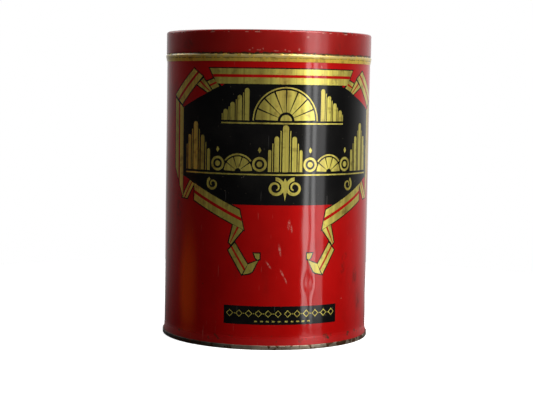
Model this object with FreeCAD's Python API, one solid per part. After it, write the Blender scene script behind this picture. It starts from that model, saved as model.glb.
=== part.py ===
"""Round slip-lid tin for sweets or spices, in tinplate: millimetres, +Z up.

The origin is the centre of the base, on the surface the tin stands on. The front of the printed
design faces -Y, so the lock seam of the wall runs down the back, at +Y.

The wall, the base and the lid are each one rolled or pressed sheet. A sheet is drawn as the line
down the middle of its thickness, as (radius, height) points with a radius for each bend.
"""
import FreeCAD, Part
import math
import os

V = FreeCAD.Vector
TOUCHING = 1e-6

# Sheet, and the spacing of layers that are folded on each other
SHEET = 0.28
FOLD_GAP = 0.05
PITCH = SHEET + FOLD_GAP
HALF = SHEET / 2

# Wall
WALL_R = 76.5
NECK_R = 76.15
BEAD_R = 77.3
BEAD_FOOT_Z = 204.2
BEAD_CREST_LOW_Z = 208.2
BEAD_CREST_HIGH_Z = 208.9
NECK_Z = 210.6
MOUTH_Z = 224.6
MOUTH_CURL_R = 0.95
MOUTH_CURL_TAIL = 0.5
BEAD_FOOT_BEND = 3.0
BEAD_CREST_BEND = 0.45
NECK_BEND = 0.6

# Double seam that joins the wall and the base
SEAM_R = 77.9
SEAM_HEIGHT = 3.25
SEAM_CORNER_R = 0.5
FLARE_TOP_Z = 9.0
FLARE_BEND = 6.0
BODY_HOOK_TOP_Z = 2.15
COVER_HOOK_LOW_Z = 1.05
COMPOUND_GAP = 0.02

# Base
BASE_PANEL_Z = 3.2
BASE_STEP = 0.8
BASE_STEP_R = 66.0

# Lid
LID_R = 76.95
LID_TOP_Z = 226.7
LID_EDGE_Z = 210.2
LID_HEM = 4.0
LID_CORNER_R = 1.4
LID_RECESS = 1.0
LID_RECESS_R = 69.5

# Steps pressed in the lid and the base
STEP_RUN = 1.6
STEP_BEND = 0.8

# Lock seam down the back of the wall
LOCK_HALF_WIDTH = 5.6
LOCK_LEAD_IN = 1.0
LOCK_OUTER_LEAD_BEND = 1.0
LOCK_INNER_LEAD_BEND = 0.5
LOCK_HOOK_HALF = 2.4
LOCK_HOOK_TIP = 1.9
JOGGLE_OUTER = 3.75
JOGGLE_INNER = 2.45
JOGGLE_BEND = 0.4
LOCK_BOTTOM_Z = 9.5
LOCK_TOP_Z = 203.6
SOLDER_DEPTH = 0.5
CUTTER_R = SEAM_R + 5.0


def direction(a, b):
    """Unit vector from point a to point b."""
    length = math.dist(a, b)
    return (b[0] - a[0]) / length, (b[1] - a[1]) / length


def rounded_corner(before, corner, after, radius, offset):
    """Start, middle and end of the arc at one bend, on the line moved sideways by offset."""
    ax, ay = direction(before, corner)
    bx, by = direction(corner, after)
    turn = math.atan2(ax * by - ay * bx, ax * bx + ay * by)
    side = math.copysign(1.0, turn)
    reach = radius * math.tan(abs(turn) / 2)
    centre_x = corner[0] - ax * reach - ay * side * radius
    centre_y = corner[1] - ay * reach + ax * side * radius
    arm = radius - offset * side
    out_x, out_y = ay * side, -ax * side
    arc = []
    for swept in (0.0, turn / 2, turn):
        cos, sin = math.cos(swept), math.sin(swept)
        across = arm * (out_x * cos - out_y * sin)
        along = arm * (out_x * sin + out_y * cos)
        arc.append((centre_x + across, centre_y + along))
    return arc


def sheet_side(points, bends, offset, place):
    """Edges of one face of the sheet, and its first and last point. A positive offset is to the left."""
    ax, ay = direction(points[0], points[1])
    bx, by = direction(points[-2], points[-1])
    first = (points[0][0] - ay * offset, points[0][1] + ax * offset)
    last = (points[-1][0] - by * offset, points[-1][1] + bx * offset)
    edges = []
    here = first
    for i, radius in enumerate(bends, start=1):
        arc = rounded_corner(points[i - 1], points[i], points[i + 1], radius, offset)
        if math.dist(here, arc[0]) > TOUCHING:
            edges.append(Part.LineSegment(place(*here), place(*arc[0])).toShape())
        edges.append(Part.Arc(*[place(*p) for p in arc]).toShape())
        here = arc[2]
    if math.dist(here, last) > TOUCHING:
        edges.append(Part.LineSegment(place(*here), place(*last)).toShape())
    return edges, first, last


def sheet_section(points, bends, place):
    """Face that a sheet fills where it is cut across, from its middle line."""
    left, left_first, left_last = sheet_side(points, bends, HALF, place)
    right, right_first, right_last = sheet_side(points, bends, -HALF, place)
    ends = [
        Part.LineSegment(place(*left_last), place(*right_last)).toShape(),
        Part.LineSegment(place(*right_first), place(*left_first)).toShape(),
    ]
    wire = Part.Wire(Part.__sortEdges__(left + right + ends))
    return Part.Face(wire)


def upright(radius, height):
    """Point of a revolved section, in the XZ plane."""
    return V(radius, 0, height)


def revolved(points, bends):
    """Round sheet, from its middle line as (radius, height) points."""
    section = sheet_section(points, bends, upright)
    return section.revolve(V(0, 0, 0), V(0, 0, 1), 360)


def wall_middle():
    """Middle line of the wall, from the hook in the base seam up to the curl at the mouth."""
    hook_r = SEAM_R - HALF - PITCH
    seam_r = hook_r - 2 * PITCH
    wall_r = WALL_R - HALF
    crest_r = BEAD_R - HALF
    neck_r = NECK_R - HALF
    turn_z = HALF + PITCH
    top_z = MOUTH_Z - HALF
    curl_r = neck_r - 2 * MOUTH_CURL_R
    curl_low_z = top_z - 2 * MOUTH_CURL_R
    points = [
        (hook_r, BODY_HOOK_TOP_Z),
        (hook_r, turn_z),
        (seam_r, turn_z),
        (seam_r, SEAM_HEIGHT),
        (wall_r, FLARE_TOP_Z),
        (wall_r, BEAD_FOOT_Z),
        (crest_r, BEAD_CREST_LOW_Z),
        (crest_r, BEAD_CREST_HIGH_Z),
        (neck_r, NECK_Z),
        (neck_r, top_z),
        (curl_r, top_z),
        (curl_r, curl_low_z),
        (curl_r + MOUTH_CURL_R + MOUTH_CURL_TAIL, curl_low_z),
    ]
    bends = [
        PITCH, PITCH, FLARE_BEND, FLARE_BEND, BEAD_FOOT_BEND, BEAD_CREST_BEND, BEAD_CREST_BEND, NECK_BEND,
        MOUTH_CURL_R, MOUTH_CURL_R, MOUTH_CURL_R,
    ]
    return points, bends


def lock_seam_face(points, bends):
    """Cross-section of one side of the lock seam. Points are (across, out from the axis)."""
    return sheet_section(points, bends, lambda across, out: V(across, out, LOCK_BOTTOM_Z))


def lock_seam_layers():
    """The two hooked edges of the wall sheet, and the distance out of the outermost layer."""
    middle_r = WALL_R - HALF
    half_angle = math.asin(LOCK_HALF_WIDTH / middle_r)
    edge = (LOCK_HALF_WIDTH, middle_r * math.cos(half_angle))
    flat = (edge[0] - LOCK_LEAD_IN * math.cos(half_angle), edge[1] + LOCK_LEAD_IN * math.sin(half_angle))
    layer = [flat[1] - n * PITCH for n in range(4)]
    outer_hook = [
        (-edge[0], edge[1]),
        (-flat[0], layer[0]),
        (LOCK_HOOK_HALF, layer[0]),
        (LOCK_HOOK_HALF, layer[2]),
        (-LOCK_HOOK_TIP, layer[2]),
    ]
    inner_hook = [
        edge,
        flat,
        (JOGGLE_OUTER, layer[0]),
        (JOGGLE_INNER, layer[3]),
        (-LOCK_HOOK_HALF, layer[3]),
        (-LOCK_HOOK_HALF, layer[1]),
        (LOCK_HOOK_TIP, layer[1]),
    ]
    outer_face = lock_seam_face(outer_hook, [LOCK_OUTER_LEAD_BEND, PITCH, PITCH])
    inner_face = lock_seam_face(
        inner_hook, [LOCK_INNER_LEAD_BEND, JOGGLE_BEND, JOGGLE_BEND, PITCH, PITCH]
    )
    return outer_face, inner_face, half_angle, layer[0]


def wall_and_solder():
    """Rolled wall with its lock seam, and the solder run in the groove of that seam."""
    run = V(0, 0, LOCK_TOP_Z - LOCK_BOTTOM_Z)
    outer_face, inner_face, half_angle, outer_layer = lock_seam_layers()
    tube = revolved(*wall_middle())
    slot = Part.makeCylinder(
        CUTTER_R, run.z, V(0, 0, LOCK_BOTTOM_Z), V(0, 0, 1), math.degrees(2 * half_angle)
    )
    slot.rotate(V(0, 0, 0), V(0, 0, 1), 90 - math.degrees(half_angle))
    hooks = [face.extrude(run) for face in (outer_face, inner_face)]
    wall = tube.cut(slot).fuse(hooks).removeSplitter()
    groove = Part.makeBox(
        JOGGLE_OUTER - LOCK_HOOK_HALF + PITCH, SOLDER_DEPTH, run.z,
        V(LOCK_HOOK_HALF - PITCH, outer_layer + HALF - SOLDER_DEPTH, LOCK_BOTTOM_Z),
    )
    solder = max(groove.cut(wall).Solids, key=lambda solid: solid.Volume)
    return wall, solder


def base_end():
    """Pressed base, curled round the hook of the wall to make the double seam."""
    seam_wall_r = SEAM_R - HALF
    cover_hook_r = seam_wall_r - 2 * PITCH
    chuck_wall_r = seam_wall_r - 4 * PITCH
    points = [
        (0, BASE_PANEL_Z + BASE_STEP),
        (BASE_STEP_R, BASE_PANEL_Z + BASE_STEP),
        (BASE_STEP_R + STEP_RUN, BASE_PANEL_Z),
        (chuck_wall_r, BASE_PANEL_Z),
        (chuck_wall_r, HALF),
        (seam_wall_r, HALF),
        (seam_wall_r, SEAM_HEIGHT - HALF),
        (cover_hook_r, SEAM_HEIGHT - HALF),
        (cover_hook_r, COVER_HOOK_LOW_Z),
    ]
    bends = [STEP_BEND, STEP_BEND, STEP_BEND, SEAM_CORNER_R, SEAM_CORNER_R, PITCH, PITCH]
    return revolved(points, bends)


def seam_compound():
    """Ring of sealing compound in the base's curl, above the edge of the wall's hook."""
    middle_r = SEAM_R - HALF - PITCH
    low_z = BODY_HOOK_TOP_Z + COMPOUND_GAP
    height = SEAM_HEIGHT - HALF - PITCH - low_z
    outer = Part.makeCylinder(middle_r + HALF, height, V(0, 0, low_z))
    return outer.cut(Part.makeCylinder(middle_r - HALF, height, V(0, 0, low_z)))


def lid():
    """Drawn lid: recessed top, straight skirt, and an edge hemmed flat to the inside."""
    skirt_r = LID_R - HALF
    top_z = LID_TOP_Z - HALF
    edge_z = LID_EDGE_Z + HALF
    points = [
        (0, top_z - LID_RECESS),
        (LID_RECESS_R, top_z - LID_RECESS),
        (LID_RECESS_R + STEP_RUN, top_z),
        (skirt_r, top_z),
        (skirt_r, edge_z),
        (skirt_r - PITCH, edge_z),
        (skirt_r - PITCH, edge_z + LID_HEM),
    ]
    bends = [STEP_BEND, STEP_BEND, LID_CORNER_R, PITCH / 2, PITCH / 2]
    return revolved(points, bends)


def main():
    wall, solder = wall_and_solder()
    nodes = {
        "body_wall": wall,
        "side_seam_solder": solder,
        "base_end": base_end(),
        "base_seam_compound": seam_compound(),
        "lid": lid(),
    }
    os.makedirs("parts", exist_ok=True)
    for name, shape in nodes.items():
        solids = shape.Solids
        print(f"{name}: {len(solids)} solid, {shape.Volume:.1f} mm3, valid {shape.isValid()}")
        shape.exportStep(f"parts/{name}.step")


main()
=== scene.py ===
import math

import bpy
from mathutils import Matrix, Vector


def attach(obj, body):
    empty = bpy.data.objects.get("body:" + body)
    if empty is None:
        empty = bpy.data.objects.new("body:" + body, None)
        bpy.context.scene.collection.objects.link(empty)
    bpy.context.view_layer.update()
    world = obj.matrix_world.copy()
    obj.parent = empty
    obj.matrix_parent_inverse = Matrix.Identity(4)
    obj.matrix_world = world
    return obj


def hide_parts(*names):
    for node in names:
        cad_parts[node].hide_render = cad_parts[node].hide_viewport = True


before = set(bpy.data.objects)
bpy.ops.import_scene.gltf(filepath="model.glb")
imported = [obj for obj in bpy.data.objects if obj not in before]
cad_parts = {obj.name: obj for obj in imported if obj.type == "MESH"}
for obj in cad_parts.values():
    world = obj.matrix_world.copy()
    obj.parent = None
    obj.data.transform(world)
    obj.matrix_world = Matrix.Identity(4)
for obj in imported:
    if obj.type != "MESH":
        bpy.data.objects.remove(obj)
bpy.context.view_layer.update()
mm = 0.001
roundSteps = 360          # faces round the tin
mergeReach = 2e-6         # points nearer than this, in metres, become one
cutReach = 1e-7           # points nearer than this to a cut lie on it


def deselectAll():
    bpy.ops.object.select_all(action="DESELECT")


def selectOnly(piece):
    deselectAll()
    piece.select_set(True)
    bpy.context.view_layer.objects.active = piece


def startEdit(piece):
    selectOnly(piece)
    bpy.ops.object.mode_set(mode="EDIT")
    bpy.ops.mesh.select_mode(type="VERT")


def stopEdit():
    bpy.ops.object.mode_set(mode="OBJECT")


def applyModifier(piece, kind, **settings):
    selectOnly(piece)
    modifier = piece.modifiers.new(kind.title(), kind)
    for name, value in settings.items():
        setattr(modifier, name, value)
    bpy.ops.object.modifier_apply(modifier=modifier.name)


def smoothShade(piece, degrees):
    selectOnly(piece)
    bpy.ops.object.shade_smooth_by_angle(angle=math.radians(degrees))


def joinAll(name, pieces):
    deselectAll()
    for piece in pieces:
        piece.select_set(True)
    joined = pieces[0]
    bpy.context.view_layer.objects.active = joined
    if len(pieces) > 1:
        bpy.ops.object.join()
    joined.name = joined.data.name = name
    return joined


# A sheet is drawn as the middle line of its thickness, in mm as (radius, height), with a radius at each
# corner. These give the two faces of it.

def towards(start, end):
    length = math.dist(start, end)
    return (end[0] - start[0]) / length, (end[1] - start[1]) / length


def runTo(points, target, step):
    # a long straight run gets rows, so that the dents have something to bend
    if points:
        start = points[-1]
        length = math.dist(start, target)
        if length < 1e-4:
            return
        rows = int(length // step)
        points += [share(start, target, row / (rows + 1)) for row in range(1, rows + 1)]
    points.append(target)


def share(a, b, t):
    return a[0] + (b[0] - a[0]) * t, a[1] + (b[1] - a[1]) * t


def sheetFace(sheet, side, step, turnStep=15):
    # side is how far the face lies to the left of the middle line
    corners = sheet["corners"]
    ax, ay = towards(corners[0], corners[1])
    points = [(corners[0][0] - ay * side, corners[0][1] + ax * side)]
    for before, corner, after, radius in zip(corners, corners[1:], corners[2:], sheet["bends"]):
        ax, ay = towards(before, corner)
        bx, by = towards(corner, after)
        turn = math.atan2(ax * by - ay * bx, ax * bx + ay * by)
        hand = math.copysign(1, turn)
        reach = radius * math.tan(abs(turn) / 2)
        centre = (corner[0] - ax * reach - ay * hand * radius, corner[1] - ay * reach + ax * hand * radius)
        arm = radius - side * hand
        ox, oy = ay * hand * arm, -ax * hand * arm
        parts = max(2, math.ceil(abs(math.degrees(turn)) / turnStep))
        for i in range(parts + 1):
            c, s = math.cos(turn * i / parts), math.sin(turn * i / parts)
            runTo(points, (centre[0] + ox * c - oy * s, centre[1] + ox * s + oy * c), step)
    bx, by = towards(corners[-2], corners[-1])
    runTo(points, (corners[-1][0] - by * side, corners[-1][1] + bx * side), step)
    return points


def sheetFaces(sheet):
    # the left face and the right face
    half = sheet["thickness"] / 2
    return sheetFace(sheet, half, sheet["step"]), sheetFace(sheet, -half, sheet["step"])


def spinShell(name, outline):
    # a vertex is pushed along the closed outline, then the line is spun round the tin's axis
    deselectAll()
    bpy.ops.mesh.primitive_plane_add(size=mm, location=(0, 0, 0))
    shell = bpy.context.object
    shell.name = shell.data.name = name
    startEdit(shell)
    bpy.ops.mesh.select_all(action="SELECT")
    bpy.ops.mesh.merge(type="CENTER")
    bpy.ops.transform.translate(value=(outline[0][0] * mm, 0, outline[0][1] * mm))
    for here, there in zip(outline, outline[1:] + outline[:1]):
        move = ((there[0] - here[0]) * mm, 0, (there[1] - here[1]) * mm)
        bpy.ops.mesh.extrude_vertices_move(TRANSFORM_OT_translate={"value": move})
    bpy.ops.mesh.select_all(action="SELECT")
    bpy.ops.mesh.remove_doubles(threshold=mergeReach)
    bpy.ops.mesh.select_all(action="SELECT")
    bpy.ops.mesh.spin(steps=roundSteps, angle=2 * math.pi, center=(0, 0, 0), axis=(0, 0, 1))
    bpy.ops.mesh.select_all(action="SELECT")
    bpy.ops.mesh.remove_doubles(threshold=mergeReach)
    bpy.ops.mesh.delete_loose(use_verts=True, use_edges=True, use_faces=False)
    bpy.ops.mesh.select_all(action="SELECT")
    bpy.ops.mesh.normals_make_consistent(inside=False)
    stopEdit()
    return shell


def spinSheet(name, sheet):
    left, right = sheetFaces(sheet)
    return spinShell(name, left + right[::-1])


def offLine(point, a, b):
    along = ((point[0] - a[0]) * (b[0] - a[0]) + (point[1] - a[1]) * (b[1] - a[1])) / math.dist(a, b) ** 2
    return math.dist(point, share(a, b, max(0.0, min(1.0, along))))


def giveSide(piece, face, slot, above=-1.0, reach=0.03):
    # the faces that the spin made from this side of the sheet take another material slot
    known = {}
    for polygon in piece.data.polygons:
        x, y, z = (c / mm for c in polygon.center)
        place = (round(math.hypot(x, y), 2), round(z, 2))
        if place not in known:
            known[place] = z > above and min(offLine(place, a, b) for a, b in zip(face, face[1:])) < reach
        if known[place]:
            polygon.material_index = slot


wall = {
    "thickness": 0.28,
    "step": 3.2,              # longest row on a straight run
    "smooth": 40,             # edges that turn by less than this, in degrees, are shaded smooth
    "radius": 76.5,
    "corners": [
        (77.43, 2.15), (77.43, 0.47), (76.77, 0.47), (76.77, 3.25), (76.36, 9.0), (76.36, 204.2),
        (77.16, 208.2), (77.16, 208.9), (76.01, 210.6), (76.01, 224.46), (74.11, 224.46),
        (74.11, 222.56), (75.56, 222.56),
    ],
    "bends": [0.33, 0.33, 6.0, 6.0, 3.0, 0.45, 0.45, 0.6, 0.95, 0.95, 0.95],
    "plainAbove": 209.7,      # the neck under the lid isn't printed
    "evenBelow": 8.0,         # the ends of the wall stay round
    "evenAbove": 206.0,
    "fadeBelow": 6.0,
    "fadeAbove": 5.0,
    # dents: (sideways from the middle of the front, height, half width, half height, depth)
    "dents": [
        (18.6, 47.8, 3.6, 6.2, 0.27), (16.5, 30.0, 3.0, 5.0, 0.07), (22.0, 66.0, 3.0, 8.0, 0.07),
        (13.0, 13.0, 5.0, 3.0, 0.08), (25.0, 33.0, 2.6, 7.0, 0.07), (15.0, 84.0, 3.0, 9.0, 0.04),
        (101.0, 33.0, 9.0, 8.0, 0.22), (-6.0, 78.0, 5.0, 4.0, 0.05), (-60.0, 40.0, 18.0, 16.0, 0.16),
        (-93.0, 90.0, 12.0, 30.0, 0.20), (150.0, 120.0, 16.0, 22.0, 0.30), (-165.0, 70.0, 14.0, 12.0, 0.35),
        (-14.0, 203.0, 3.0, 2.2, 0.10), (66.0, 150.0, 14.0, 20.0, 0.12), (190.0, 40.0, 9.0, 9.0, 0.25),
    ],
    "ripples": [(0.035, 5, 34, 0.0), (0.020, 11, -17, 1.0), (0.010, 25, 23, 2.0)],
}

lockSeam = {
    "low": 9.5,
    "high": 203.6,
    "endReach": 0.3,
    "bareHalf": 6.6,          # the print stops this far from the seam
    "cutHalf": 9.0,           # only faces nearer than this are cut
    "pressedHalf": 4.61,      # only points nearer than this are pressed
    "stillHalf": 8.0,         # nearer than this the wall isn't dented
    "blendHalf": 22.0,        # and from here on it has its full dents
    # the wall across the seam, as (sideways, distance from the axis), seen from above
    "outer": [(-4.6, 76.368), (2.38, 76.368), (2.70, 76.28), (2.86, 75.95), (3.05, 75.92), (3.68, 76.32),
              (3.95, 76.368), (4.6, 76.368)],
    "inner": [(-4.6, 76.088), (-2.98, 76.088), (-2.84, 75.30), (-2.60, 75.10), (2.10, 75.10), (2.60, 75.22),
              (3.55, 75.92), (3.95, 76.088), (4.6, 76.088)],
}


def hollow(dents, along, height):
    # how deep soft round dents are here, each as (sideways, height, half width, half height, depth)
    return sum(depth * math.exp(-((along - sideways) / halfWide) ** 2 - ((height - up) / halfHigh) ** 2)
               for sideways, up, halfWide, halfHigh, depth in dents)


def wallShift(along, height):
    # how far the used wall stands off the true round, in mm
    shift = -hollow(wall["dents"], along, height)
    for size, waves, rise, start in wall["ripples"]:
        shift += size * math.sin(waves * along / wall["radius"] + height / rise + start)
    fromSeam = math.pi * wall["radius"] - abs(along)
    return shift * max(0.0, min(
        1.0,
        (height - wall["evenBelow"]) / wall["fadeBelow"],
        (wall["evenAbove"] - height) / wall["fadeAbove"],
        (fromSeam - lockSeam["stillHalf"]) / (lockSeam["blendHalf"] - lockSeam["stillHalf"]),
    ))


def dentWall(piece):
    for vertex in piece.data.vertices:
        x, y, z = vertex.co
        out = math.hypot(x, y)
        along = math.atan2(x, -y) * wall["radius"]
        grown = 1 + wallShift(along, z / mm) * mm / out
        vertex.co = (x * grown, y * grown, z)


def between(line, x):
    for (x0, y0), (x1, y1) in zip(line, line[1:]):
        if x0 <= x <= x1:
            return y0 + (y1 - y0) * (x - x0) / (x1 - x0)
    return None


def foldSeam(piece):
    # the back of the wall is cut upright at the seam's folds, then pressed to the seam's section
    startEdit(piece)
    bpy.ops.mesh.select_all(action="DESELECT")
    stopEdit()
    for vertex in piece.data.vertices:
        vertex.select = vertex.co.y < 0 or abs(vertex.co.x) > lockSeam["cutHalf"] * mm
    startEdit(piece)
    bpy.ops.mesh.hide(unselected=False)
    bare = lockSeam["bareHalf"]
    cuts = sorted({x for x, y in lockSeam["outer"] + lockSeam["inner"]} | {-bare, bare})
    for x in cuts:
        bpy.ops.mesh.select_all(action="SELECT")
        bpy.ops.mesh.bisect(plane_co=(x * mm, 0, 0), plane_no=(1, 0, 0), threshold=cutReach)
    bpy.ops.mesh.reveal(select=False)
    stopEdit()
    middle = wall["radius"] - wall["thickness"] / 2
    low, high = lockSeam["low"] - lockSeam["endReach"], lockSeam["high"] + lockSeam["endReach"]
    for vertex in piece.data.vertices:
        x, y, z = (c / mm for c in vertex.co)
        if y > 0 and abs(x) < lockSeam["pressedHalf"] and low < z < high:
            side = "outer" if math.hypot(x, y) > middle else "inner"
            pressed = between(lockSeam[side], x)
            if pressed:
                vertex.co.y = pressed * mm
    for polygon in piece.data.polygons:
        x, y, z = (c / mm for c in polygon.center)
        if polygon.material_index == 0 and y > 0 and abs(x) < bare and z < wall["plainAbove"]:
            polygon.material_index = 2


print("wall")
wallInside, wallOutside = sheetFaces(wall)
wallRows = [z for r, z in wallOutside if wall["evenBelow"] < z < wall["evenAbove"]]
bodyWall = spinSheet("tin_wall", wall)
giveSide(bodyWall, wallInside, 1)
giveSide(bodyWall, wallOutside, 1, above=wall["plainAbove"])
foldSeam(bodyWall)
dentWall(bodyWall)
smoothShade(bodyWall, wall["smooth"])


lid = {
    "thickness": 0.28,
    "step": 4,
    "smooth": 40,
    "corners": [
        (0, 225.56), (69.5, 225.56), (71.1, 226.56), (76.81, 226.56), (76.81, 210.34), (76.48, 210.34),
        (76.48, 214.34),
    ],
    "bends": [0.8, 0.8, 1.4, 0.165, 0.165],
    # (sideways, height, half width, half height, depth)
    "dents": [
        (-27.0, 212.4, 2.2, 1.6, 0.10), (-19.0, 213.2, 2.4, 1.8, 0.14), (-11.5, 212.6, 2.2, 1.5, 0.12),
        (-3.0, 213.0, 2.6, 1.8, 0.10), (6.0, 212.2, 2.0, 1.4, 0.12), (40.0, 213.5, 3.0, 2.4, 0.10),
        (-60.0, 219.0, 9.0, 5.0, 0.12), (120.0, 216.0, 8.0, 5.0, 0.16), (-150.0, 217.0, 9.0, 5.0, 0.18),
    ],
    "skirtFrom": 76.0,        # how far from the axis the skirt begins
    "evenBelow": 210.6,
    "fadeBelow": 1.5,
    "panelFrom": 225.0,       # how high up the panel begins
    "panelEdge": 69.0,        # the panel's hollows fade out towards here
    "panelFade": 8.0,
    # (x, y, half width, half depth, depth)
    "panelDents": [
        (22.0, -18.0, 16.0, 16.0, 0.16), (-30.0, 24.0, 20.0, 20.0, 0.22), (6.0, 44.0, 10.0, 12.0, 0.12),
        (-8.0, -40.0, 14.0, 9.0, 0.14), (46.0, 20.0, 9.0, 13.0, 0.10),
    ],
}


def dentLid(piece):
    # small knocks round the skirt, and shallow hollows in the panel
    for vertex in piece.data.vertices:
        x, y, z = (c / mm for c in vertex.co)
        out = math.hypot(x, y)
        if z > lid["panelFrom"]:
            fade = max(0.0, min(1.0, (lid["panelEdge"] - out) / lid["panelFade"]))
            vertex.co.z -= hollow(lid["panelDents"], x, y) * fade * mm
        elif out > lid["skirtFrom"]:
            fade = max(0.0, min(1.0, (z - lid["evenBelow"]) / lid["fadeBelow"]))
            grown = 1 - hollow(lid["dents"], math.atan2(x, -y) * out, z) * fade / out
            vertex.co = (x * grown * mm, y * grown * mm, z * mm)


print("lid")
tinLid = spinSheet("tin_lid", lid)
giveSide(tinLid, sheetFaces(lid)[1], 1)
dentLid(tinLid)
smoothShade(tinLid, lid["smooth"])


base = {
    "thickness": 0.28,
    "step": 6,
    "smooth": 40,
    "insideAbove": 3.2,       # the panel's upper face is lacquered; the folds of the seam are bare
    "corners": [
        (0, 4.0), (66.0, 4.0), (67.6, 3.2), (76.44, 3.2), (76.44, 0.14), (77.76, 0.14), (77.76, 3.11),
        (77.1, 3.11), (77.1, 1.05),
    ],
    "bends": [0.8, 0.8, 0.8, 0.5, 0.5, 0.33, 0.33],
}

print("base")
tinBase = spinSheet("tin_base", base)
giveSide(tinBase, sheetFaces(base)[0], 1, above=base["insideAbove"])
smoothShade(tinBase, base["smooth"])


# The print: flat patches, drawn in mm as (sideways from the middle of the front, height) for the right
# half of the design, then mirrored and wrapped on the wall as thin films of ink.

ribbons = {
    "outline": 0.85,
    "stripe": (0.40, 0.58),
    # each fold has two long sides: the first and second corners, and the fourth and third
    "folds": {
        "foldOne": [(53.5, 192.0), (59.0, 190.0), (54.6, 184.2), (49.0, 186.6)],
        "foldTwo": [(55.2, 183.9), (62.5, 192.3), (68.5, 187.6), (58.4, 182.2)],
        "shoulder": [(95.0, 180.0), (71.8, 199.0), (63.4, 193.6), (85.3, 173.4)],
        "side": [(94.7, 177.6), (94.5, 127.3), (83.5, 106.3), (83.6, 170.8)],
        "turnedBack": [(75.0, 119.0), (84.3, 106.0), (78.0, 105.5), (70.5, 116.6)],
        "lower": [(70.3, 117.0), (32.3, 99.8), (29.0, 85.6), (70.3, 104.8)],
        "twist": [(36.8, 89.0), (39.9, 76.2), (38.3, 74.6), (29.6, 85.4)],
        "tail": [(40.2, 70.6), (30.0, 53.7), (25.8, 60.9), (35.4, 76.0)],
    },
    "plain": {
        "tailTurn": [(25.5, 61.1), (29.0, 53.7), (24.3, 54.7), (22.4, 56.0), (18.3, 64.0)],
        "tailEnd": [(17.3, 69.0), (21.4, 69.0), (20.3, 66.0), (18.9, 64.5), (17.3, 65.0)],
    },
    "bar": [(0, 199.3), (57.0, 199.3), (51.0, 188.6), (0, 188.6)],
    "barStripe": [(0, 195.2), (54.6, 195.2), (53.5, 193.2), (0, 193.2)],
    "barNick": [(45.0, 188.4), (48.6, 188.4), (46.8, 186.8)],
}

panel = [
    (0, 189.0), (50.6, 189.0), (49.0, 186.4), (54.8, 184.0), (58.5, 182.1), (83.6, 171.3), (83.6, 122.0),
    (75.5, 119.4), (70.4, 116.9), (38.5, 103.3), (0, 103.3),
]
label = {"halfWidth": 43.0, "low": 18.0, "high": 31.3}
# how far each ink stands off the wall, and how thick its film is; of two folds, the later outline lies
# higher by foldStep
ink = {
    "black": 0.020, "outline": 0.030, "gold": 0.045, "red": 0.060, "foldStep": 0.001, "thickness": 0.09,
    "smooth": 35,
}


def outset(points, distance, longest=1.8):
    # the outline of a patch moved outwards, no sharp corner further than longest times the distance;
    # corners that lie on the middle line stay on it
    area = sum(a[0] * b[1] - b[0] * a[1] for a, b in zip(points, points[1:] + points[:1]))
    hand = math.copysign(distance, area)
    moved = []
    for i, (x, z) in enumerate(points):
        ax, ay = towards(points[i - 1], (x, z))
        bx, by = towards((x, z), points[(i + 1) % len(points)])
        nx, nz = ay + by, -ax - bx
        reach = min(2 / (nx * nx + nz * nz), longest / math.hypot(nx, nz)) * hand
        moved.append((x + nx * reach if x > 0 else 0, z + nz * reach))
    return moved


def patch(points, lift):
    # one flat patch of ink, standing in front of the flat sheet
    deselectAll()
    bpy.ops.mesh.primitive_circle_add(vertices=len(points), radius=mm, fill_type="NGON", location=(0, 0, 0))
    piece = bpy.context.object
    for vertex, (x, z) in zip(piece.data.vertices, points):
        vertex.co = (x * mm, -lift * mm, z * mm)
    return piece


def arc(cx, cz, radius, start, end, parts=8):
    # angles in degrees from the right
    angles = [math.radians(start + (end - start) * i / parts) for i in range(parts + 1)]
    return [(cx + radius * math.cos(a), cz + radius * math.sin(a)) for a in angles]


def sector(cx, cz, inner, outer, start, end, parts=8):
    return arc(cx, cz, outer, start, end, parts) + arc(cx, cz, inner, end, start, parts)


def bar(left, right, low, high):
    return [(left, low), (right, low), (right, high), (left, high)]


def flute(left, right, low, high):
    # an upright bar with a round top; one that starts on the middle line is half of one
    if left == 0:
        return [(0, low), (right, low)] + arc(0, high - right, right, 0, 90, 5)
    radius = (right - left) / 2
    return [(left, low), (right, low)] + arc(left + radius, high - radius, radius, 0, 180)


def fan(cx, cz, inner, outer, petals, gap, start, end):
    width = (start - end) / petals
    return [
        sector(cx, cz, inner, outer, end + width * i + gap / 2, end + width * (i + 1) - gap / 2)
        for i in range(petals)
    ]


def sun(cx, cz):
    rim = [sector(cx, cz, *skyline["sunRim"], 90 * i, 90 * i + 90) for i in range(4)]
    return rim + [arc(cx, cz, skyline["sunEye"], 0, 345, 23)]


def lozenge(cx, cz, halfWide, halfHigh):
    return [(cx + halfWide, cz), (cx, cz + halfHigh), (cx - halfWide, cz), (cx, cz - halfHigh)]


def lozengeFrame(cx, cz, half, border):
    # four strips round a hollow square that stands on its corner
    inside = half - border * math.sqrt(2)
    outer, inner = lozenge(cx, cz, half, half), lozenge(cx, cz, inside, inside)
    return [[outer[i], outer[(i + 1) % 4], inner[(i + 1) % 4], inner[i]] for i in range(4)]


volute = {"stripsPerTurn": 18, "closing": 0.72, "halfWidth": 0.5, "thinning": 0.32}


def scroll(cx, cz, size, turns, thick, hand, start):
    # a volute that thins towards its eye, as short strips
    parts = int(turns * volute["stripsPerTurn"])
    rims = []
    for side in (1, -1):
        rim = []
        for i in range(parts + 1):
            t = i / parts
            angle = math.radians(start + hand * t * turns * 360)
            reach = size * (1 - volute["closing"] * t)
            reach += side * thick * (volute["halfWidth"] - volute["thinning"] * t)
            rim.append((cx + reach * math.cos(angle), cz + reach * math.sin(angle)))
        rims.append(rim)
    outer, inner = rims
    return [[outer[i], outer[i + 1], inner[i + 1], inner[i]] for i in range(parts)]


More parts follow.
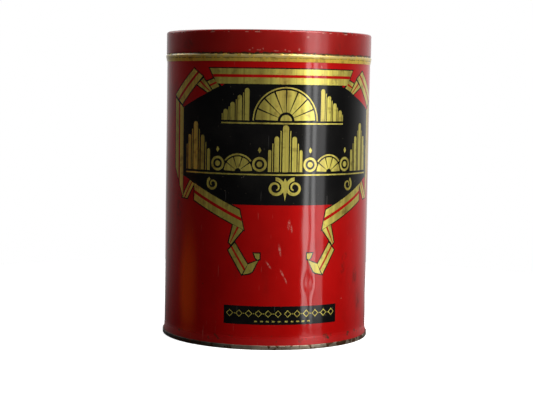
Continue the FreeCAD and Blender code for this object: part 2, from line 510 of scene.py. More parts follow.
fanTop = {
    "foot": 163.0,
    "hub": 4.2,
    "fan": (6.0, 21.6, 4, 3.0, 90, 0),              # inner, outer, petals, gap, start, end
    "rim": (22.8, 23.8),
    "flutes": [(26.2, 185.8), (31.5, 180.8), (36.8, 175.8), (42.1, 170.8)],     # (left side, top)
    "fluteWidth": 3.3,
    "reed": (3.9, 4.6, 3.2),          # from the flute's left side, and how far it stays below its top
    "rule": (47.0, 2.4, 1.4),
}
skyline = {
    "foot": 127.0,
    "flutes": [
        (0, 2.2, 160.0), (4.7, 8.0, 152.0), (10.2, 12.4, 142.5), (56.0, 58.4, 142.5), (61.2, 64.4, 152.0),
        (67.4, 71.6, 161.5), (74.4, 77.4, 152.0),
    ],
    "reeds": [(3.1, 156.0), (8.8, 147.0), (59.4, 147.0), (65.6, 156.0), (72.7, 156.0), (78.5, 145.0)],
    "reedWidth": 0.7,
    "suns": [18.4, 49.6],
    "sunRise": 5.2,
    "sunRim": (3.5, 5.2),
    "sunEye": 2.0,
    "drop": (142.2, 1.3, 2.2),        # height, half width, half height
    "fanMiddle": 34.0,
    "fan": (2.2, 10.4, 5, 5.0, 180, 0),
    "fanRim": (11.4, 12.6, 38, 142, 12),
    "rule": (79.6, 2.6, 1.6),
    # under the rule: (sideways, height, size, turns, thickness, hand, start)
    "scrolls": [(6.8, 115.8, 6.2, 1.45, 2.7, 1, 90), (53.5, 117.4, 4.6, 1.3, 2.1, -1, 60)],
    "pendant": [(0, 122.6), (2.3, 118.0), (0, 106.4)],
}
chain = {
    "height": 25.9, "links": 6, "first": 3.5, "step": 7.0, "half": 2.7, "border": 0.50, "bead": 0.5,
    "dashes": 5, "dashFirst": 1.6, "dashStep": 4.2, "dashWidth": 2.0, "dashLow": 19.9, "dashHigh": 20.9,
}


def rule(foot, reach, below, above):
    return bar(0, reach, foot - below, foot - above)


def topOrnament():
    # a fan over the middle, with stepped flutes beside it, standing on a thin rule
    foot = fanTop["foot"]
    shapes = [[(0, foot)] + arc(0, foot, fanTop["hub"], 0, 90)]
    shapes += fan(0, foot, *fanTop["fan"])
    shapes += [sector(0, foot, *fanTop["rim"], 0, 90, 16)]
    near, far, lower = fanTop["reed"]
    for left, top in fanTop["flutes"]:
        shapes += [flute(left, left + fanTop["fluteWidth"], foot, top)]
        shapes += [bar(left + near, left + far, foot, top - lower)]
    return shapes + [rule(foot, *fanTop["rule"])]


def mainOrnament():
    # a stepped tower in the middle, then two suns with a fan between, and a tower at the end
    foot = skyline["foot"]
    shapes = [flute(left, right, foot, top) for left, right, top in skyline["flutes"]]
    shapes += [bar(left, left + skyline["reedWidth"], foot, top) for left, top in skyline["reeds"]]
    for middle in skyline["suns"]:
        shapes += sun(middle, foot + skyline["sunRise"])
        shapes += [lozenge(middle, *skyline["drop"])]
    shapes += fan(skyline["fanMiddle"], foot, *skyline["fan"])
    shapes += [sector(skyline["fanMiddle"], foot, *skyline["fanRim"])]
    for settings in skyline["scrolls"]:
        shapes += scroll(*settings)
    return shapes + [rule(foot, *skyline["rule"]), skyline["pendant"]]


def labelOrnament():
    # hollow lozenges with a bead between, over a row of dashes
    shapes = []
    for i in range(chain["links"]):
        along = chain["step"] * i
        shapes += lozengeFrame(along + chain["first"], chain["height"], chain["half"], chain["border"])
        if i:
            shapes += [lozenge(along, chain["height"], chain["bead"], chain["bead"])]
    for i in range(chain["dashes"]):
        left = chain["dashFirst"] + chain["dashStep"] * i
        shapes += [bar(left, left + chain["dashWidth"], chain["dashLow"], chain["dashHigh"])]
    return shapes


def printLayer(name, patches):
    # mirrored, cut where the wall's own faces meet, wrapped on the wall, and given thickness
    layer = joinAll(name, patches)
    applyModifier(layer, "MIRROR", use_mirror_merge=True, merge_threshold=mergeReach)
    startEdit(layer)
    columnWidth = 2 * math.pi / roundSteps * wall["radius"] * mm
    front = roundSteps // 4
    reach = max(abs(vertex.co.x) for vertex in layer.data.vertices)
    columns = [i * columnWidth for i in range(-front, front + 1) if abs(i * columnWidth) < reach]
    cuts = [((x, 0, 0), (1, 0, 0)) for x in columns]
    cuts += [((0, 0, z * mm), (0, 0, 1)) for z in wallRows]
    for place, normal in cuts:
        bpy.ops.mesh.select_all(action="SELECT")
        bpy.ops.mesh.bisect(plane_co=place, plane_no=normal, threshold=cutReach)
    stopEdit()
    for vertex in layer.data.vertices:
        x, lift, z = vertex.co.x, -vertex.co.y, vertex.co.z
        angle = x / (wall["radius"] * mm)
        out = (wall["radius"] + wallShift(x / mm, z / mm)) * mm + lift
        vertex.co = (out * math.sin(angle), -out * math.cos(angle), z)
    for polygon in layer.data.polygons:
        if polygon.normal.dot(Vector((polygon.center.x, polygon.center.y, 0))) < 0:
            polygon.flip()
    applyModifier(layer, "SOLIDIFY", thickness=ink["thickness"] * mm, offset=-1)
    smoothShade(layer, ink["smooth"])
    return layer


print("print")
everyFold = [*ribbons["folds"].values(), *ribbons["plain"].values()]
blackPatches = [patch(panel, ink["black"])]
blackPatches += [patch(bar(0, label["halfWidth"], label["low"], label["high"]), ink["black"])]
blackPatches += [patch(outset(ribbons["bar"], ribbons["outline"]), ink["outline"] - ink["foldStep"])]
blackPatches += [patch(outset(points, ribbons["outline"]), ink["outline"] + ink["foldStep"] * i)
                 for i, points in enumerate(everyFold)]
blackPrint = printLayer("black_print", blackPatches)

goldShapes = everyFold + [ribbons["bar"]] + topOrnament() + mainOrnament() + labelOrnament()
goldPrint = printLayer("gold_print", [patch(points, ink["gold"]) for points in goldShapes])

near, far = ribbons["stripe"]
redShapes = [ribbons["barStripe"], ribbons["barNick"]]
for a, b, c, d in ribbons["folds"].values():
    redShapes.append([share(a, d, near), share(b, c, near), share(b, c, far), share(a, d, far)])
redPrint = printLayer("red_print", [patch(points, ink["red"]) for points in redShapes])


# gold print round the bead under the lid, on what lies outside the neck
band = {
    "low": 204.3, "high": 209.9, "inner": 76.2, "lift": 0.04, "depth": 0.05, "step": 1.0, "turnStep": 8,
    "smooth": 40,
}


def bandOutline():
    face = sheetFace(wall, -wall["thickness"] / 2, band["step"], band["turnStep"])
    face = [(r, z) for r, z in face if r > band["inner"]]
    front, back = [], []
    for here, there in zip(face, face[1:]):
        if band["low"] <= here[1] <= band["high"]:
            ax, ay = towards(here, there)
            front.append((here[0] + ay * band["lift"], here[1] - ax * band["lift"]))
            back.append((here[0] - ay * band["depth"], here[1] + ax * band["depth"]))
    return front + back[::-1]


goldBand = spinShell("gold_band", bandOutline())
smoothShade(goldBand, band["smooth"])


# Materials. Every pattern reads the object's own coordinates, in metres.

pattern = {
    "away": (0.37, 0.21, 0.13),  # noise is read from here, because it makes a star at the origin
    "rim": (74.6, 75.8),  # where the tin's inside turns into its outside
    "raggedScale": 260,
    "markDepth": 4,  # how far a mark reaches in and out
    "markEdge": (0.25, 1.0),
}


def newMaterial(name, constants):
    material = bpy.data.materials.new(name)
    material.use_nodes = True
    shader = material.node_tree.nodes["Principled BSDF"]
    for socket, value in constants.items():
        shader.inputs[socket].default_value = value
    return material, material.node_tree, shader


def node(tree, kind, **values):
    made = tree.nodes.new(kind)
    for name, value in values.items():
        if name in made.inputs:
            made.inputs[name].default_value = value
        else:
            setattr(made, name, value)
    return made


def mapped(tree, output="Object", **values):
    coords = node(tree, "ShaderNodeTexCoord")
    mapping = node(tree, "ShaderNodeMapping", **values)
    tree.links.new(coords.outputs[output], mapping.inputs["Vector"])
    return mapping.outputs["Vector"]


def noise(tree, scale, detail, stretch=(1, 1, 1), turn=0.0):
    vector = mapped(tree, Location=pattern["away"], Scale=stretch, Rotation=(0, math.radians(turn), 0))
    made = node(tree, "ShaderNodeTexNoise", Scale=scale, Detail=detail)
    tree.links.new(vector, made.inputs["Vector"])
    return made.outputs["Fac"]


def ramp(tree, source, low, high, toLow=0.0, toHigh=1.0):
    made = node(tree, "ShaderNodeMapRange", interpolation_type="SMOOTHSTEP")
    for name, value in (("From Min", low), ("From Max", high), ("To Min", toLow), ("To Max", toHigh)):
        made.inputs[name].default_value = value
    tree.links.new(source, made.inputs["Value"])
    return made.outputs["Result"]


def mixColour(tree, amount, first, second):
    made = node(tree, "ShaderNodeMix", data_type="RGBA")
    for socket, value in ((made.inputs[6], first), (made.inputs[7], second)):
        if isinstance(value, tuple):
            socket.default_value = (*value, 1)
        else:
            tree.links.new(value, socket)
    tree.links.new(amount, made.inputs[0])
    return made.outputs[2]


def maths(tree, operation, first, second):
    made = node(tree, "ShaderNodeMath", operation=operation)
    for socket, value in zip(made.inputs, (first, second)):
        if isinstance(value, (int, float)):
            socket.default_value = value
        else:
            tree.links.new(value, socket)
    return made.outputs[0]


def bump(tree, height, strength, distance):
    made = node(tree, "ShaderNodeBump", Strength=strength, Distance=distance)
    tree.links.new(height, made.inputs["Height"])
    return made.outputs["Normal"]


def coordinate(tree, axis, output="Object"):
    split = node(tree, "ShaderNodeSeparateXYZ")
    tree.links.new(mapped(tree, output), split.inputs[0])
    return split.outputs[axis]


def nearOutside(tree):
    # 0 inside the rim of the tin, 1 on its round outside
    length = node(tree, "ShaderNodeVectorMath", operation="LENGTH")
    tree.links.new(mapped(tree, Scale=(1, 1, 0)), length.inputs[0])
    inner, outer = pattern["rim"]
    return ramp(tree, length.outputs["Value"], inner * mm, outer * mm)


def zone(tree, low, high, soft):
    # 1 between two heights on the outside, in mm, with ragged edges
    ragged = ramp(tree, noise(tree, pattern["raggedScale"], 4), 0.3, 0.7, -soft * mm, soft * mm)
    height = maths(tree, "ADD", coordinate(tree, "Z"), ragged)
    rise = ramp(tree, height, (low - soft) * mm, (low + soft) * mm)
    fall = ramp(tree, height, (high - soft) * mm, (high + soft) * mm, 1, 0)
    return maths(tree, "MULTIPLY", maths(tree, "MULTIPLY", rise, fall), nearOutside(tree))


def spot(tree, place, size, turn=(0, 0, 0), output="Object"):
    # 1 in the middle of an egg shape, 0 outside it
    vector = mapped(tree, output, vector_type="TEXTURE", Location=place, Scale=size, Rotation=turn)
    length = node(tree, "ShaderNodeVectorMath", operation="LENGTH")
    tree.links.new(vector, length.inputs[0])
    return ramp(tree, length.outputs["Value"], *pattern["markEdge"], 1, 0)


def marks(tree, spots):
    # (sideways, height, half width, half height, lean in degrees) on the round of the tin
    radius = wall["radius"]
    total = None
    for sideways, height, halfWide, halfHigh, lean in spots:
        angle = sideways / radius
        place = (radius * math.sin(angle) * mm, -radius * math.cos(angle) * mm, height * mm)
        size = (halfWide * mm, pattern["markDepth"] * mm, halfHigh * mm)
        one = spot(tree, place, size, (0, math.radians(lean), angle))
        total = one if total is None else maths(tree, "MAXIMUM", total, one)
    return total


# A cloud is (noise scale, detail, low, high, least, most, stretch, turn). As the noise goes from low to
# high the cloud goes from least to most. The last four may be left out.

def cloudy(tree, scale, detail, low, high, least=0.0, most=1.0, stretch=(1, 1, 1), turn=0.0):
    return ramp(tree, noise(tree, scale, detail, stretch, turn), low, high, least, most)


def cover(tree, under, over, cloud, where=None):
    # lays one colour over another as a cloud, and only where another mask lets it
    amount = cloudy(tree, *cloud)
    if where is not None:
        amount = maths(tree, "MULTIPLY", where, amount)
    return mixColour(tree, amount, under, over)


def finishSurface(tree, shader, colour, finish):
    # grain is (noise scale, detail, strength, depth in mm)
    scale, detail, strength, depth = finish["grain"]
    grain = bump(tree, noise(tree, scale, detail), strength, depth * mm)
    rough = cloudy(tree, *finish["rough"])
    for socket, value in (("Base Color", colour), ("Roughness", rough), ("Normal", grain)):
        tree.links.new(value, shader.inputs[socket])


def coat(name, finish, wearAndShade=()):
    # colours lie over one another in the order given; bands of wear and of painted shade are (low, high,
    # raggedness, what shows)
    material, tree, shader = newMaterial(name, finish["sockets"])
    colour = finish["colour"]
    for over, cloud in finish["over"]:
        colour = cover(tree, colour, over, cloud)
    for low, high, ragged, shown in wearAndShade:
        colour = cover(tree, colour, shown, finish["wearAndShadeCloud"], zone(tree, low, high, ragged))
    finishSurface(tree, shader, colour, finish)
    return material


lacquer = {
    "sockets": {
        "Metallic": 0.4, "Coat Weight": 1.0, "Coat IOR": 1.5, "IOR": 1.45, "Specular IOR Level": 0.0,
    },
    "wall": {"bright": (0.60, 0.0026, 0.0022), "deep": (0.50, 0.0022, 0.0020), "dust": 0.02, "gloss": 0.10},
    "lid": {"bright": (0.46, 0.0060, 0.0042), "deep": (0.36, 0.0048, 0.0036), "dust": 0.07, "gloss": 0.20},
    "stripe": {"bright": (0.56, 0.0026, 0.0022), "deep": (0.46, 0.0022, 0.0020), "dust": 0.0, "gloss": 0.1},
    "dirt": (0.085, 0.012, 0.008),
    "dust": (0.30, 0.085, 0.065),
    # pale scuffs and scratches, also the colour of the lid's painted highlights
    "scuffAndHighlight": (0.66, 0.26, 0.21),
    "rust": (0.070, 0.028, 0.012),
    "brightCloud": (14, 4, 0.3, 0.7),
    "rollingMarks": (110, 3, 0.35, 0.7, 0, 0.30, (1, 1, 0.02)),
    "grime": (60, 6, 0.55, 0.78, 0, 0.30, (1, 1, 0.35)),
    "dustCloud": (45, 5, 0.25, 0.8),
    "scratches": [
        (900, 1, 0.755, 0.80, 0, 0.25, (1, 1, 0.06), 52), (1100, 1, 0.755, 0.80, 0, 0.25, (1, 1, 0.06), -38),
    ],
    "smears": (330, 5, 0.34, 0.66, 0.05, 0.50),
    "chips": (430, 2, 0.785, 0.80),
    "rubbed": (1500, 2, 0.40, 0.60, 0.1, 0.8, (1, 1, 0.4)),
    "rough": (90, 5, 0.3, 0.75, 0.46, 0.60),
    "grain": (900, 2, 0.12, 0.06),
    "dullFoot": (5, 13, 0.25),        # rubbed rougher by the last, from the second height to the first
}

# worn places on the wall and the lid, and painted glints on the lid: (sideways, height, half width, half
# height, lean)
wallScuffs = [
    (3.2, 89.5, 1.5, 4.5, 6), (5.2, 86.5, 1.0, 3.5, -4), (-3.0, 71.5, 1.2, 5.5, -10),
    (-11.0, 61.0, 0.9, 4.5, -35), (-1.2, 55.0, 1.0, 4.2, -28), (1.4, 50.0, 0.9, 3.6, -22),
    (26.0, 201.0, 1.3, 1.6, 0), (49.0, 34.5, 0.9, 0.7, 0), (-150.0, 96.0, 1.4, 7.0, 35),
    (165.0, 140.0, 1.2, 6.0, -25),
]
wallDirt = [
    (52.0, 65.0, 5.5, 3.2, -35), (50.0, 57.0, 4.0, 6.5, 10), (66.0, 49.0, 4.5, 10.0, 5),
    (73.0, 30.0, 5.0, 9.0, 12), (-84.0, 172.0, 4.0, 4.0, 0), (-88.0, 100.0, 6.0, 18.0, 10),
    (140.0, 60.0, 12.0, 20.0, 20), (-140.0, 150.0, 14.0, 16.0, -15), (200.0, 25.0, 16.0, 12.0, 0),
]
# pale scuffs on the lid; those along its lower edge also stand for glints on the dents there: painted
# highlights
lidScuffsAndGlints = [
    (-26.5, 212.3, 1.0, 0.8, 0), (-24.4, 213.6, 0.6, 0.7, 0), (-20.0, 212.4, 2.0, 0.7, 0),
    (-17.0, 213.2, 0.8, 0.9, 0), (-8.0, 211.9, 2.8, 0.6, 0), (-1.5, 212.6, 0.8, 0.9, 0),
    (1.4, 211.9, 1.3, 0.7, 0), (8.4, 213.0, 1.1, 1.5, 0), (15.0, 222.0, 1.5, 1.2, 0),
]
lidDirt = [
    (40.0, 213.2, 4.4, 3.8, 0), (41.5, 216.5, 2.0, 3.0, -10), (-78.0, 216.0, 9.0, 6.0, 0),
    (130.0, 215.0, 12.0, 5.0, 0),
]


def wearAndShadeCloud(share):
    # the larger the share, the more of the band is covered; the bands hold wear and painted light
    return 330, 5, 0.60 - 0.25 * share, 0.72 - 0.25 * share, 0, 1, (1, 1, 0.6)


def redLacquer(name, colours, scuffsAndGlints=(), dirt=(), wearAndShade=()):
    # bands of wear and of painted light are (low, high, raggedness, share covered, what shows there)
    material, tree, shader = newMaterial(name, lacquer["sockets"])
    colour = cover(tree, colours["deep"], colours["bright"], lacquer["brightCloud"])
    colour = cover(tree, colour, colours["deep"], lacquer["rollingMarks"])
    colour = cover(tree, colour, lacquer["dirt"], lacquer["grime"])
    dustCloud = (*lacquer["dustCloud"], 0.4 * colours["dust"], 1.6 * colours["dust"])
    colour = cover(tree, colour, lacquer["dust"], dustCloud)
    for scratches in lacquer["scratches"]:
        colour = cover(tree, colour, lacquer["scuffAndHighlight"], scratches)
    if dirt:
        colour = cover(tree, colour, lacquer["dirt"], lacquer["smears"], marks(tree, dirt))
    colour = cover(tree, colour, lacquer["rust"], lacquer["chips"])
    if scuffsAndGlints:
        # pale scuff marks; on the lid's lower edge they are partly painted glints
        colour = cover(tree, colour, lacquer["scuffAndHighlight"], lacquer["rubbed"], marks(tree, scuffsAndGlints))
    # some of these bands are painted highlight and painted shadow, laid on like wear
    for low, high, ragged, share, shown in wearAndShade:
        colour = cover(tree, colour, lacquer[shown], wearAndShadeCloud(share), zone(tree, low, high, ragged))
    finishSurface(tree, shader, colour, lacquer)
    low, high, duller = lacquer["dullFoot"]
    gloss = colours["gloss"]
    dull = ramp(tree, coordinate(tree, "Z"), low * mm, high * mm, gloss + duller, gloss)
    tree.links.new(dull, shader.inputs["Coat Roughness"])
    return material


def goldInk(metallic, deep, bright):
    return {
        "sockets": {
            "Metallic": metallic, "Coat Weight": 0.9, "Coat Roughness": 0.13, "IOR": 1.45,
            "Specular IOR Level": 0.0,
        },
        "colour": deep,
        "over": [
            (bright, (150, 3, 0.36, 0.64, 0, 1, (1, 1, 0.02))),  # rolling marks
            ((0.40, 0.25, 0.045), (620, 2, 0.45, 0.68, 0, 0.30, (1, 1, 0.02))),  # finer ones
            ((0.30, 0.19, 0.04), (200, 5, 0.52, 0.72, 0, 0.55)),  # tarnish
            ((0.80, 0.38, 0.10), (38, 2, 0.62, 0.74, 0, 0.35, (1, 1, 0.10))),  # coppery streaks
            ((0.055, 0.040, 0.022), (700, 3, 0.72, 0.76, 0, 0.8)),  # rubbed off
        ],
        "wearAndShadeCloud": (380, 5, 0.34, 0.52),
        "rough": (140, 4, 0.3, 0.7, 0.34, 0.48, (1, 1, 0.1)),
        "grain": (1300, 2, 0.10, 0.05),
    }


ribbonGold = goldInk(0.77, (0.72, 0.60, 0.12), (0.99, 0.87, 0.18))
beadGold = goldInk(0.50, (0.95, 0.64, 0.09), (0.99, 0.70, 0.11))
blackInk = {
    "sockets": {"Coat Weight": 1.0, "Coat Roughness": 0.13, "IOR": 1.45, "Specular IOR Level": 0.0},
    "colour": (0.0035, 0.0033, 0.0033),
    "over": [
        ((0.0090, 0.0082, 0.0075), (40, 4, 0.35, 0.7)),
        ((0.12, 0.10, 0.07), (520, 2, 0.745, 0.765)),  # specks
        ((0.09, 0.085, 0.08), (1000, 1, 0.75, 0.79, 0, 0.5, (1, 1, 0.04), 31)),  # scratches
    ],
    "rough": (110, 5, 0.3, 0.75, 0.30, 0.50),
    "grain": (900, 2, 0.12, 0.06),
}
# thin yellow lacquer over tinplate, for food
insideLacquer = {
    "sockets": {"Metallic": 0.95, "Coat Weight": 0.6, "Coat Roughness": 0.16, "IOR": 1.5},
    "colour": (0.66, 0.47, 0.19),
    "over": [
        ((0.52, 0.35, 0.12), (30, 5, 0.3, 0.7)),
        ((0.40, 0.26, 0.09), (200, 2, 0.4, 0.7, 0, 0.25, (1, 1, 0.03))),  # rolling marks
        ((0.20, 0.12, 0.05), (120, 6, 0.58, 0.74, 0, 0.7)),  # stains
    ],
    "rough": (160, 4, 0.3, 0.7, 0.26, 0.42),
    "grain": (800, 2, 0.15, 0.06),
}
solderGrey = {
    "sockets": {"Metallic": 0.8, "IOR": 1.5},
    "colour": (0.62, 0.62, 0.60),
    "over": [
        ((0.40, 0.40, 0.39), (300, 4, 0.3, 0.7)),
        ((0.13, 0.12, 0.11), (120, 3, 0.55, 0.75, 0, 0.5, (1, 1, 0.3))),  # drips
    ],
    "rough": (240, 3, 0.3, 0.7, 0.38, 0.6),
    "grain": (400, 3, 0.5, 0.2),
}
seamRubber = {
    "sockets": {"IOR": 1.5},
    "colour": (0.060, 0.045, 0.032),
    "over": [((0.022, 0.018, 0.015), (500, 4, 0.3, 0.7))],
    "rough": (300, 3, 0.3, 0.7, 0.7, 0.9),
    "grain": (900, 3, 0.4, 0.1),
}
tinplate = {
    "sockets": {"Metallic": 0.85, "IOR": 1.5},
    "base": {"bright": (0.43, 0.37, 0.275), "dull": (0.31, 0.26, 0.195), "rustFrom": 0.61},
    "strip": {"bright": (0.52, 0.49, 0.43), "dull": (0.30, 0.27, 0.22), "rustFrom": 0.63},
    "mottle": (150, 5, 0.33, 0.66),
    "spangle": (420, 0.1, 0.9, 0.25),  # cell scale, from, to, how much
    "stainColour": (0.16, 0.10, 0.05),
    "stains": (70, 6, 0.5, 0.72, 0, 0.5),
    "rustColour": (0.105, 0.045, 0.018),
    "rust": (240, 6, 0.08),  # noise scale, detail, softness
    # colour of the painted shade on the left of the base seam
    "paintedShadeColour": (0.018, 0.013, 0.010),
    # on the base seam, in mm from left to right: (from, to, least, most)
    "rustRight": (5, 65, 0.07, 0.20),
    # painted shade: the base seam darker towards the left, away from the light
    "paintedShadeLeft": (-25, -65, 0, 0.9),
    # dirt and painted shade in the folds of the lock seam, as upright lines at (sideways, half width)
    "creases": [(2.55, 0.5), (3.9, 0.4)],
    "creaseDirtAndShadeColour": (0.03, 0.025, 0.02),
    "creaseDirtAndShade": (0.4, 0.9),  # share of the half width that is darkest, and how dark
    "rough": (200, 5, 0.3, 0.75, 0.34, 0.66),
    "grain": (650, 4, 0.25, 0.12),
}


def bareTin(name, colours, onBase):
    # the base has painted shade on its left and rust round the outside; the strip has dirt and painted shade
    # in the seam's creases
    material, tree, shader = newMaterial(name, tinplate["sockets"])
    colour = cover(tree, colours["bright"], colours["dull"], tinplate["mottle"])
    scale, low, high, most = tinplate["spangle"]
    spangle = node(tree, "ShaderNodeTexVoronoi", Scale=scale)
    tree.links.new(mapped(tree), spangle.inputs["Vector"])
    amount = ramp(tree, spangle.outputs["Distance"], low, high, 0, most)
    colour = mixColour(tree, amount, colour, colours["dull"])
    colour = cover(tree, colour, tinplate["stainColour"], tinplate["stains"])
    scale, detail, softness = tinplate["rust"]
    rusting = noise(tree, scale, detail)
    across = coordinate(tree, "X")
    if onBase:
        low, high, least, most = tinplate["rustRight"]
        extra = ramp(tree, across, low * mm, high * mm, least, most)
        rusting = maths(tree, "ADD", rusting, maths(tree, "MULTIPLY", extra, nearOutside(tree)))
        # painted shade: darker towards the left, on the rim only
        low, high, least, most = tinplate["paintedShadeLeft"]
        shadedLeft = ramp(tree, across, low * mm, high * mm, least, most)
        shadedLeft = maths(tree, "MULTIPLY", shadedLeft, nearOutside(tree))
        colour = mixColour(tree, shadedLeft, colour, tinplate["paintedShadeColour"])
    rust = ramp(tree, rusting, colours["rustFrom"], colours["rustFrom"] + softness)
    colour = mixColour(tree, rust, colour, tinplate["rustColour"])
    if not onBase:
        core, most = tinplate["creaseDirtAndShade"]
        for sideways, half in tinplate["creases"]:
            away = maths(tree, "ABSOLUTE", maths(tree, "SUBTRACT", across, sideways * mm), 0)
            # dirt and painted shade along each fold, darkest at its middle
            dirt = ramp(tree, away, core * half * mm, half * mm, most, 0)
            colour = mixColour(tree, dirt, colour, tinplate["creaseDirtAndShadeColour"])
    finishSurface(tree, shader, colour, tinplate)
    return material


def dress(piece, *materials):
    slots = piece.data.materials
    places = [polygon.material_index for polygon in piece.data.polygons]
    slots.clear()
    for material in materials:
        slots.append(material)
    piece.data.polygons.foreach_set("material_index", places)


print("materials")
# bands on the wall: rust at the foot; at the neck, rust and painted shadow of the gap under the lid
wallWearAndGapShade = [(6.0, 9.6, 1.0, 0.12, "rust"), (209.6, 211.0, 0.3, 0.9, "rust")]
lidWearAndPaintedLight = [
    # bands on the lid: rust along the top edge; a pale band below it, a painted highlight where the round
    # edge starts
    (225.6, 227.0, 0.4, 0.25, "rust"), (224.7, 225.3, 0.2, 0.20, "scuffAndHighlight"),
    # the lower edge in the rust colour: rust there and painted shadow of the gap under the lid
    (209.0, 210.9, 0.35, 0.75, "rust"),
]
beadWearAndShade = [
    # on the gold bead: the crest worn pale; a dark line below it, painted shade on the bead's slope
    (207.4, 209.4, 0.3, (0.80, 0.62, 0.22)), (206.75, 207.1, 0.1, (0.16, 0.10, 0.03)),
    # the band's top, near black: painted shadow of the gap under the lid
    (209.3, 212.0, 0.2, (0.035, 0.025, 0.018)),
]
wallRed = redLacquer("wall_red", lacquer["wall"], wallScuffs, wallDirt, wallWearAndGapShade)
lidRed = redLacquer("lid_red", lacquer["lid"], lidScuffsAndGlints, lidDirt, lidWearAndPaintedLight)
inside = coat("inside_lacquer", insideLacquer)
dress(bodyWall, wallRed, inside, bareTin("unprinted_tin", tinplate["strip"], False))
dress(tinLid, lidRed, inside)
dress(tinBase, bareTin("bare_tin", tinplate["base"], True), inside)
dress(blackPrint, coat("black_ink", blackInk))
dress(goldPrint, coat("gold_ink", ribbonGold))
dress(redPrint, redLacquer("stripe_red", lacquer["stripe"]))
dress(goldBand, coat("bead_gold", beadGold, beadWearAndShade))
dress(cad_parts["side_seam_solder"], coat("solder", solderGrey))
dress(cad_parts["base_seam_compound"], coat("seam_rubber", seamRubber))

for piece, body, slot in (
    (bodyWall, "can", "printed_tinplate_wall"), (tinLid, "lid", "printed_tinplate_lid"),
    (tinBase, "can", "bare_tinplate"), (blackPrint, "can", "black_ink"), (goldPrint, "can", "gold_ink"),
    (redPrint, "can", "printed_tinplate_wall"), (goldBand, "can", "gold_ink"),
):
    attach(piece, body)
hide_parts("body_wall")
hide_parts("lid")
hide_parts("base_end")


# angles in degrees; azimuths go from the camera round to the right
studio = {
    "cameraDistance": 1.0297, "cameraHeight": 0.18307, "cameraAzimuth": 9.74, "cameraPitch": 4.555,
    "cameraRoll": 0.94, "lens": 91.54,
    # the floor is pale to the camera, and dim to all else so that the tin's foot stays dark
    "floor": {"radius": 0.45, "pale": (0.93, 0.93, 0.93), "dim": (0.22, 0.21, 0.20), "glow": 0.85},
    "lightsAimAt": 0.1,
    # azimuth, elevation, distance, width, height, power
    "lights": {
        "windowLeft": (44.2, 16, 1.6, 0.155, 1.7, 3.9),
        "windowRight": (52.2, 16, 1.6, 0.140, 1.7, 3.9),
        "windowFar": (61.0, 16, 1.6, 0.30, 1.7, 2.6),
        "key": (48, 48, 1.5, 0.9, 0.9, 17.8),
        "fill": (-128, 30, 1.5, 0.9, 0.9, 3.4),
    },
    # how bright the room looks round the horizon, and how that falls off below it
    "room": [
        (-180, 0.75), (-165, 0.55), (-155, 0.37), (-143, 0.22), (-131, 0.125), (-119, 0.065),
        (-107, 0.035), (-90, 0.022), (-60, 0.018), (-30, 0.03), (0, 0.045), (33, 0.08), (66, 0.15),
        (90, 0.05), (102, 0.08), (113, 0.19), (125, 0.34), (137, 0.54), (150, 0.72), (180, 0.75),
    ],
    "below": [(-40, 2.4), (-24, 2.2), (-15, 0.12), (-9.6, 0.18), (-8.0, 0.50), (-5, 0.80), (0, 1.0)],
    # warm wood low on the left: azimuth, elevation, half angles, colour, strength
    "warm": (-98, -8.1, (0.36, 0.7, 0.052), (1.0, 0.18, 0.01), 0.80),
}


def towardsAzimuth(azimuth, elevation):
    a, e = math.radians(azimuth - studio["cameraAzimuth"]), math.radians(elevation)
    return Vector((math.sin(a) * math.cos(e), -math.cos(a) * math.cos(e), math.sin(e)))


def placeCamera():
    data = bpy.data.cameras.new("camera")
    camera = bpy.data.objects.new("camera", data)
    bpy.context.scene.collection.objects.link(camera)
    data.sensor_width = 36
    data.lens = studio["lens"]
    data.clip_start = 0.02
    camera.location = towardsAzimuth(0, 0) * studio["cameraDistance"]
    camera.location.z = studio["cameraHeight"]
    turn = (Matrix.Rotation(math.radians(-studio["cameraAzimuth"]), 4, "Z")
            @ Matrix.Rotation(math.radians(90 - studio["cameraPitch"]), 4, "X")
            @ Matrix.Rotation(math.radians(studio["cameraRoll"]), 4, "Z"))
    camera.rotation_euler = turn.to_euler()
    bpy.context.scene.camera = camera


def placeLight(name, azimuth, elevation, distance, width, height, power):
    direction = towardsAzimuth(azimuth, elevation)
    data = bpy.data.lights.new(name, "AREA")
    data.shape = "RECTANGLE"
    data.size, data.size_y = width, height
    data.energy = power
    light = bpy.data.objects.new(name, data)
    bpy.context.scene.collection.objects.link(light)
    light.location = Vector((0, 0, studio["lightsAimAt"])) + direction * distance
    light.rotation_euler = direction.to_track_quat("Z", "Y").to_euler()
    light.visible_camera = False


def placeFloor():
    # clear from below
    settings = studio["floor"]
    deselectAll()
    bpy.ops.mesh.primitive_circle_add(vertices=128, radius=settings["radius"], fill_type="NGON")
    floor = bpy.context.object
    floor.name = "floor"
    material, tree, shader = newMaterial("floor", {"Roughness": 0.8, "Emission Color": (1, 1, 1, 1)})
    seen = node(tree, "ShaderNodeLightPath").outputs["Is Camera Ray"]
    colour = mixColour(tree, seen, settings["dim"], settings["pale"])
    tree.links.new(colour, shader.inputs["Base Color"])
    tree.links.new(maths(tree, "MULTIPLY", seen, settings["glow"]), shader.inputs["Emission Strength"])
    clear = node(tree, "ShaderNodeBsdfTransparent")
    mix = node(tree, "ShaderNodeMixShader")
    tree.links.new(node(tree, "ShaderNodeNewGeometry").outputs["Backfacing"], mix.inputs[0])
    tree.links.new(shader.outputs[0], mix.inputs[1])
    tree.links.new(clear.outputs[0], mix.inputs[2])
    tree.links.new(mix.outputs[0], tree.nodes["Material Output"].inputs["Surface"])
    floor.data.materials.append(material)
    floor.visible_glossy = False


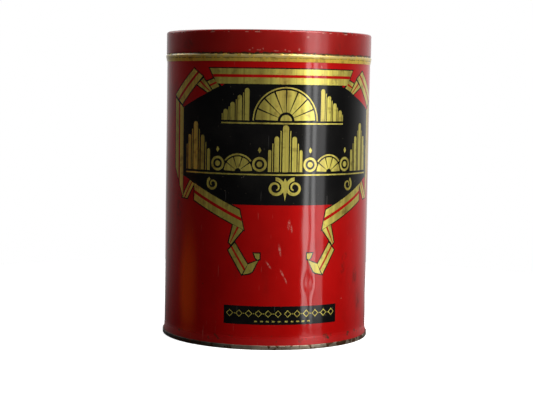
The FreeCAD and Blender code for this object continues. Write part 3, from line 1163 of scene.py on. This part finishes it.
def greyRamp(tree, source, stops):
    made = node(tree, "ShaderNodeValToRGB")
    tree.links.new(source, made.inputs["Fac"])
    elements = made.color_ramp.elements
    elements.remove(elements[-1])
    for i, (place, level) in enumerate(stops):
        element = elements[0] if i == 0 else elements.new(place)
        element.position = place
        element.color = (level, level, level, 1)
    return made.outputs["Color"]


def placeWorld():
    world = bpy.data.worlds.new("studio")
    bpy.context.scene.world = world
    world.use_nodes = True
    tree = world.node_tree
    tree.nodes.clear()
    gradient = node(tree, "ShaderNodeTexGradient", gradient_type="RADIAL")
    turned = mapped(tree, "Generated", Rotation=(0, 0, math.radians(studio["cameraAzimuth"] + 90)))
    tree.links.new(turned, gradient.inputs["Vector"])
    sides = greyRamp(tree, gradient.outputs["Fac"], [(0.5 + a / 360, level) for a, level in studio["room"]])
    deepest = math.sin(math.radians(studio["below"][0][0]))
    rise = maths(tree, "SUBTRACT", 1, maths(tree, "DIVIDE", coordinate(tree, "Z", "Generated"), deepest))
    heights = greyRamp(tree, rise, [(1 - math.sin(math.radians(e)) / deepest, level)
                                    for e, level in studio["below"]])
    room = maths(tree, "MULTIPLY", sides, heights)
    azimuth, elevation, spread, colour, strength = studio["warm"]
    facing = (0, 0, math.radians(azimuth - studio["cameraAzimuth"]))
    warm = spot(tree, towardsAzimuth(azimuth, elevation), spread, facing, "Generated")
    seenRoom = mixColour(tree, warm, room, tuple(c * strength for c in colour))
    around = node(tree, "ShaderNodeBackground")
    tree.links.new(seenRoom, around.inputs["Color"])
    plain = node(tree, "ShaderNodeBackground", Color=(1, 1, 1, 1))
    mix = node(tree, "ShaderNodeMixShader")
    tree.links.new(node(tree, "ShaderNodeLightPath").outputs["Is Camera Ray"], mix.inputs[0])
    tree.links.new(around.outputs[0], mix.inputs[1])
    tree.links.new(plain.outputs[0], mix.inputs[2])
    out = node(tree, "ShaderNodeOutputWorld")
    tree.links.new(mix.outputs[0], out.inputs["Surface"])


print("stage")
placeCamera()
placeFloor()
placeWorld()
for name, values in studio["lights"].items():
    placeLight(name, *values)
bpy.context.scene.view_settings.view_transform = "Standard"
